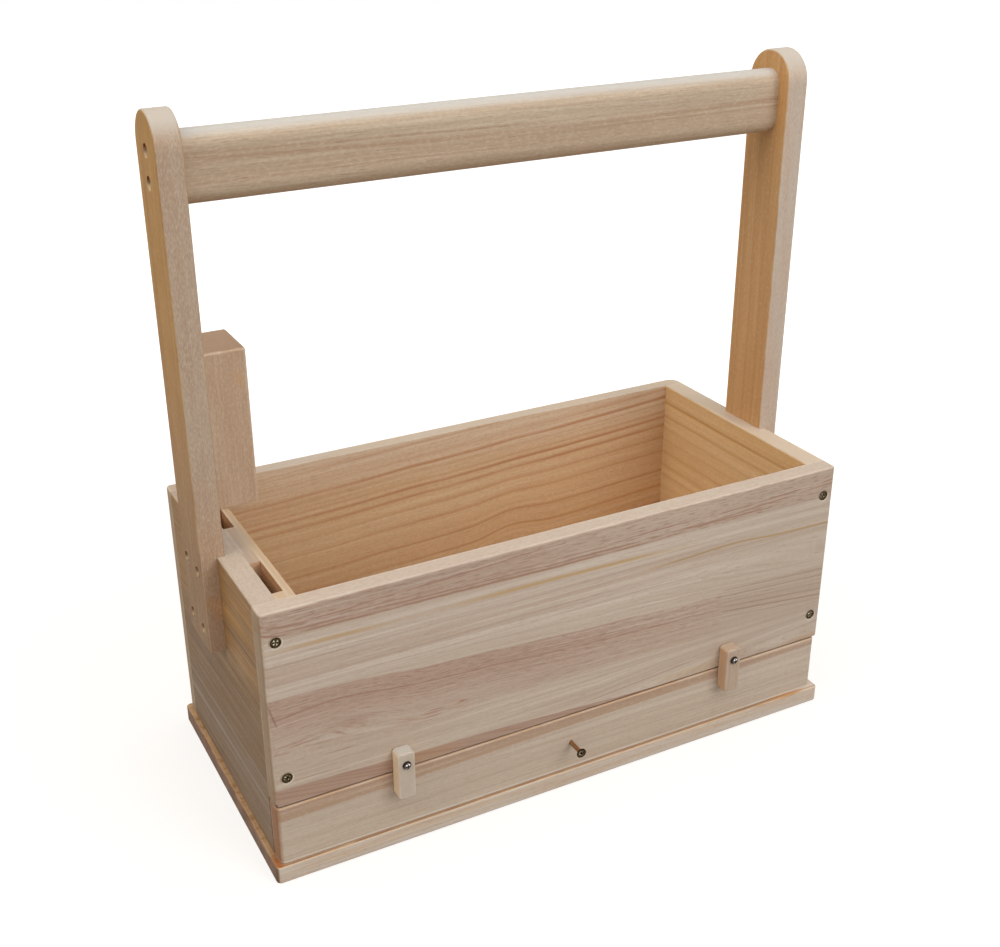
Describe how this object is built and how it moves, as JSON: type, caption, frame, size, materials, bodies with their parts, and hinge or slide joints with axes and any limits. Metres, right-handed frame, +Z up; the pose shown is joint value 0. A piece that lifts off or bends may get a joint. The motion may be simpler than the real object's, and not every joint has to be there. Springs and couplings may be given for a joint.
{
  "type": "wooden tool tote",
  "caption": "Open wooden tool tote with a bar handle on two uprights, a drawer under its floor shut by turn buttons, and a narrow tool slot with a lift-out block.",
  "frame": {"origin": "middle of the case's footprint, on the base board's underside", "axes": "+X to the right along the case's length, +Y from the drawer front to the back, +Z up"},
  "size_m": [0.42, 0.2005, 0.4393],
  "materials": {
    "base_wood": "sanded pale softwood, no varnish",
    "side_wood": "sanded pale softwood, no varnish",
    "front_wood": "sanded pale edge-glued softwood, no varnish",
    "back_wood": "sanded pale softwood with strong dark late wood",
    "floor_wood": "sanded pale softwood",
    "upright_wood": "sanded pale softwood with eased edges",
    "handle_wood": "sanded smooth pale softwood",
    "slot_wood": "planed pale softwood",
    "block_wood": "sanded pale softwood",
    "drawer_wood": "planed pale softwood",
    "button_wood": "sanded pale wood",
    "bronze_screw": "zinc-yellow passivated steel, dull bronze",
    "nickel_screw": "bright nickel-plated steel",
    "steel_pin": "plain bright steel"
  },
  "bodies": {
    "case": {"base_board": "base_wood", "left_side_board": "side_wood", "right_side_board": "side_wood", "front_board": "front_wood", "back_board": "back_wood", "tote_floor": "floor_wood", "left_upright": "upright_wood", "right_upright": "upright_wood", "handle_bar": "handle_wood", "slot_partition": "slot_wood", "slot_front_spacer": "slot_wood", "slot_middle_spacer": "slot_wood", "front_board_screws": "bronze_screw", "back_board_screws": "bronze_screw", "base_screws": "bronze_screw", "left_upright_screws": "bronze_screw", "right_upright_screws": "bronze_screw", "left_handle_screws": "bronze_screw", "right_handle_screws": "bronze_screw", "turn_button_screw_left": "nickel_screw", "turn_button_screw_right": "nickel_screw"},
    "drawer": {"drawer_front": "front_wood", "drawer_left_side": "drawer_wood", "drawer_right_side": "drawer_wood", "drawer_back": "drawer_wood", "drawer_bottom": "drawer_wood", "drawer_pins": "steel_pin", "drawer_knob_screw": "bronze_screw"},
    "turn_button_left": {"turn_button_left": "button_wood"},
    "turn_button_right": {"turn_button_right": "button_wood"},
    "corner_block": {"corner_block": "block_wood"}
  },
  "joints": [
    {"name": "drawer_slide", "type": "slide", "parent": "case", "child": "drawer", "axis": [0, -1, 0], "range_m": [0, 0.14]},
    {"name": "turn_button_left_pivot", "type": "hinge", "parent": "case", "child": "turn_button_left", "pos_m": [-0.12025, -0.0973, 0.063], "axis": [0, 1, 0], "continuous": true},
    {"name": "turn_button_right_pivot", "type": "hinge", "parent": "case", "child": "turn_button_right", "pos_m": [0.12025, -0.0973, 0.063], "axis": [0, 1, 0], "continuous": true},
    {"name": "corner_block_lift", "type": "slide", "parent": "case", "child": "corner_block", "axis": [0, 0, 1], "range_m": [0, 0.06]}
  ]
}
